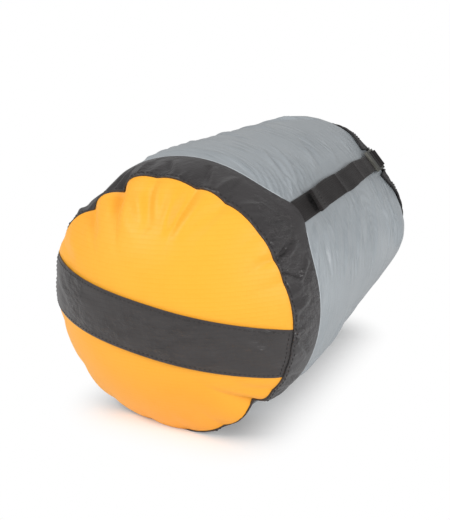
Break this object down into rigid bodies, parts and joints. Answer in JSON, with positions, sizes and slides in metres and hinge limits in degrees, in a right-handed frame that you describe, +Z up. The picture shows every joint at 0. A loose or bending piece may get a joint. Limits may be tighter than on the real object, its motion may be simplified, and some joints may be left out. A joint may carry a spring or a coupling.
{
  "type": "compression sack",
  "caption": "Filled roll-top compression sack lying on its side, with a crowned base and grab handle, and a lid drawn down by webbing straps in ladder locks.",
  "frame": {"origin": "middle of the sack's box, on the floor that it lies on", "axes": "+Y along the sack from base to lid, +Z up, +X to the right when the base is seen from the front"},
  "size_m": [0.23, 0.3644, 0.224],
  "materials": {
    "base_fabric": "amber ripstop nylon, fine weave",
    "dark_fabric": "charcoal nylon, satin",
    "body_fabric": "silver-grey coated nylon, soft sheen",
    "lid_fabric": "black nylon",
    "webbing": "black woven webbing",
    "seam_tape": "clear seam tape",
    "thread": "black bar-tack thread",
    "lock_plastic": "dark grey acetal, satin",
    "black_plastic": "black acetal"
  },
  "bodies": {
    "sack": {"base_panel": "base_fabric", "base_ring": "dark_fabric", "sack_tube": "body_fabric", "ring_seam_tape": "seam_tape", "side_seam_tape": "seam_tape", "strap_1": "webbing", "strap_2": "webbing", "strap_3": "webbing", "strap_4": "webbing", "strap_tacks": "thread"},
    "handle": {"base_handle": "dark_fabric", "handle_tacks": "thread"},
    "closure": {"mouth_collar": "body_fabric", "closure_roll": "body_fabric", "roll_stiffener": "black_plastic", "clip_socket": "black_plastic", "socket_tab": "webbing", "plug_tab": "webbing"},
    "plug": {"clip_plug": "black_plastic"},
    "lid": {"lid_panel": "lid_fabric", "lid_binding": "webbing", "lock_tab_1": "webbing", "lock_tab_2": "webbing", "lock_tab_3": "webbing", "lock_tab_4": "webbing", "tab_tacks": "thread"},
    "lock_1": {"ladder_lock_1": "lock_plastic", "strap_turn_1": "webbing"},
    "lock_2": {"ladder_lock_2": "lock_plastic", "strap_turn_2": "webbing"},
    "lock_3": {"ladder_lock_3": "lock_plastic", "strap_turn_3": "webbing"},
    "lock_4": {"ladder_lock_4": "lock_plastic", "strap_turn_4": "webbing"},
    "tail_1": {"strap_tail_1": "webbing"},
    "tail_2": {"strap_tail_2": "webbing"},
    "tail_3": {"strap_tail_3": "webbing"},
    "tail_4": {"strap_tail_4": "webbing"}
  },
  "joints": [
    {"name": "compress", "type": "slide", "parent": "sack", "child": "closure", "axis": [0, -1, 0], "range_m": [0, 0.06], "deforming": ["sack_tube", "side_seam_tape", "strap_1", "strap_2", "strap_3", "strap_4"]},
    {"name": "lid_lift", "type": "slide", "parent": "closure", "child": "lid", "axis": [0, 1, 0], "range_m": [0, 0.08]},
    {"name": "handle_pull", "type": "slide", "parent": "sack", "child": "handle", "axis": [0, -1, 0], "range_m": [0, 0.025]},
    {"name": "unclip", "type": "slide", "parent": "closure", "child": "plug", "axis": [1, 0, 0], "range_m": [0, 0.021], "deforming": ["plug_tab"]},
    {"name": "lock_tilt_1", "type": "hinge", "parent": "lid", "child": "lock_1", "pos_m": [0.08348, 0.14589, 0.18157], "axis": [-0.6561, 0, 0.7547], "range_deg": [0, 45]},
    {"name": "lock_tilt_2", "type": "hinge", "parent": "lid", "child": "lock_2", "pos_m": [0.07257, 0.14589, 0.02552], "axis": [0.7547, 0, 0.6561], "range_deg": [0, 45]},
    {"name": "lock_tilt_3", "type": "hinge", "parent": "lid", "child": "lock_3", "pos_m": [-0.08348, 0.14589, 0.03643], "axis": [0.6561, 0, -0.7547], "range_deg": [0, 45]},
    {"name": "lock_tilt_4", "type": "hinge", "parent": "lid", "child": "lock_4", "pos_m": [-0.07257, 0.14589, 0.19248], "axis": [-0.7547, 0, -0.6561], "range_deg": [0, 45]},
    {"name": "tail_pull_1", "type": "slide", "parent": "lid", "child": "tail_1", "axis": [0.0658, -0.9962, 0.0572], "range_m": [0, 0.06]},
    {"name": "tail_pull_2", "type": "slide", "parent": "lid", "child": "tail_2", "axis": [0.0572, -0.9962, -0.0658], "range_m": [0, 0.06]},
    {"name": "tail_pull_3", "type": "slide", "parent": "lid", "child": "tail_3", "axis": [-0.0658, -0.9962, -0.0572], "range_m": [0, 0.06]},
    {"name": "tail_pull_4", "type": "slide", "parent": "lid", "child": "tail_4", "axis": [-0.0572, -0.9962, 0.0658], "range_m": [0, 0.06]}
  ],
  "couplings": [
    {"joint": "tail_pull_1", "follows": "compress", "ratio": 1},
    {"joint": "tail_pull_2", "follows": "compress", "ratio": 1},
    {"joint": "tail_pull_3", "follows": "compress", "ratio": 1},
    {"joint": "tail_pull_4", "follows": "compress", "ratio": 1}
  ]
}
